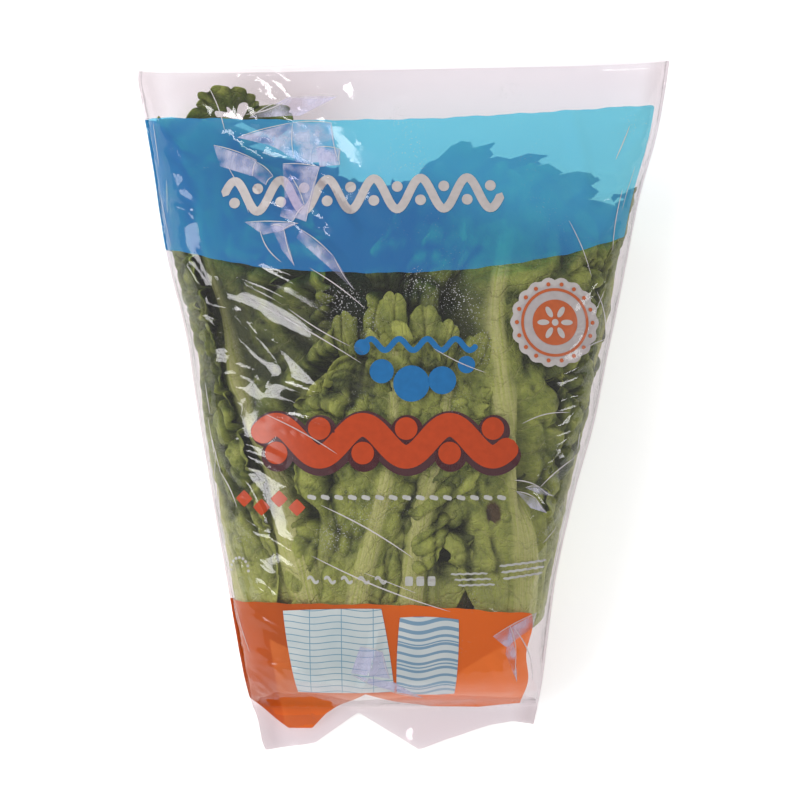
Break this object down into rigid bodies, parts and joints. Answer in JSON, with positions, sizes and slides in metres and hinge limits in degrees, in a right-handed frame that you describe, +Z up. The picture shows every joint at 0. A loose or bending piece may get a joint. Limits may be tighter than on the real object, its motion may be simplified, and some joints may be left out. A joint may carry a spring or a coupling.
{
  "type": "curly endive head in a clear film sleeve",
  "caption": "Head of curly endive with toothed, ruffled leaves round a pale heart and stem, lying in a tapered clear film sleeve that is open at the leaf end.",
  "frame": {"origin": "on the surface that the sleeve lies on, under the middle of its outline", "axes": "+X across the sleeve, +Y from the cut stem to the leaf tips and the sleeve's mouth, +Z up"},
  "size_m": [0.2916, 0.3836, 0.0921],
  "materials": {
    "leaf_green": "satin leaf, mid green",
    "heart_pale": "satin leaf, pale yellow green",
    "stem_white": "matt cut stem, off white",
    "film": "clear glossy film"
  },
  "bodies": {
    "root": {"stem": "stem_white", "leaf_01": "leaf_green", "leaf_02": "leaf_green", "leaf_03": "leaf_green", "leaf_04": "leaf_green", "leaf_05": "leaf_green", "leaf_06": "leaf_green", "leaf_07": "leaf_green", "leaf_08": "leaf_green", "leaf_09": "leaf_green", "leaf_10": "leaf_green", "leaf_11": "leaf_green", "leaf_12": "leaf_green", "leaf_13": "leaf_green", "leaf_14": "leaf_green", "leaf_15": "leaf_green", "leaf_16": "leaf_green", "leaf_17": "leaf_green", "leaf_18": "leaf_green", "heart": "heart_pale", "film_sleeve": "film"}
  },
  "joints": []
}
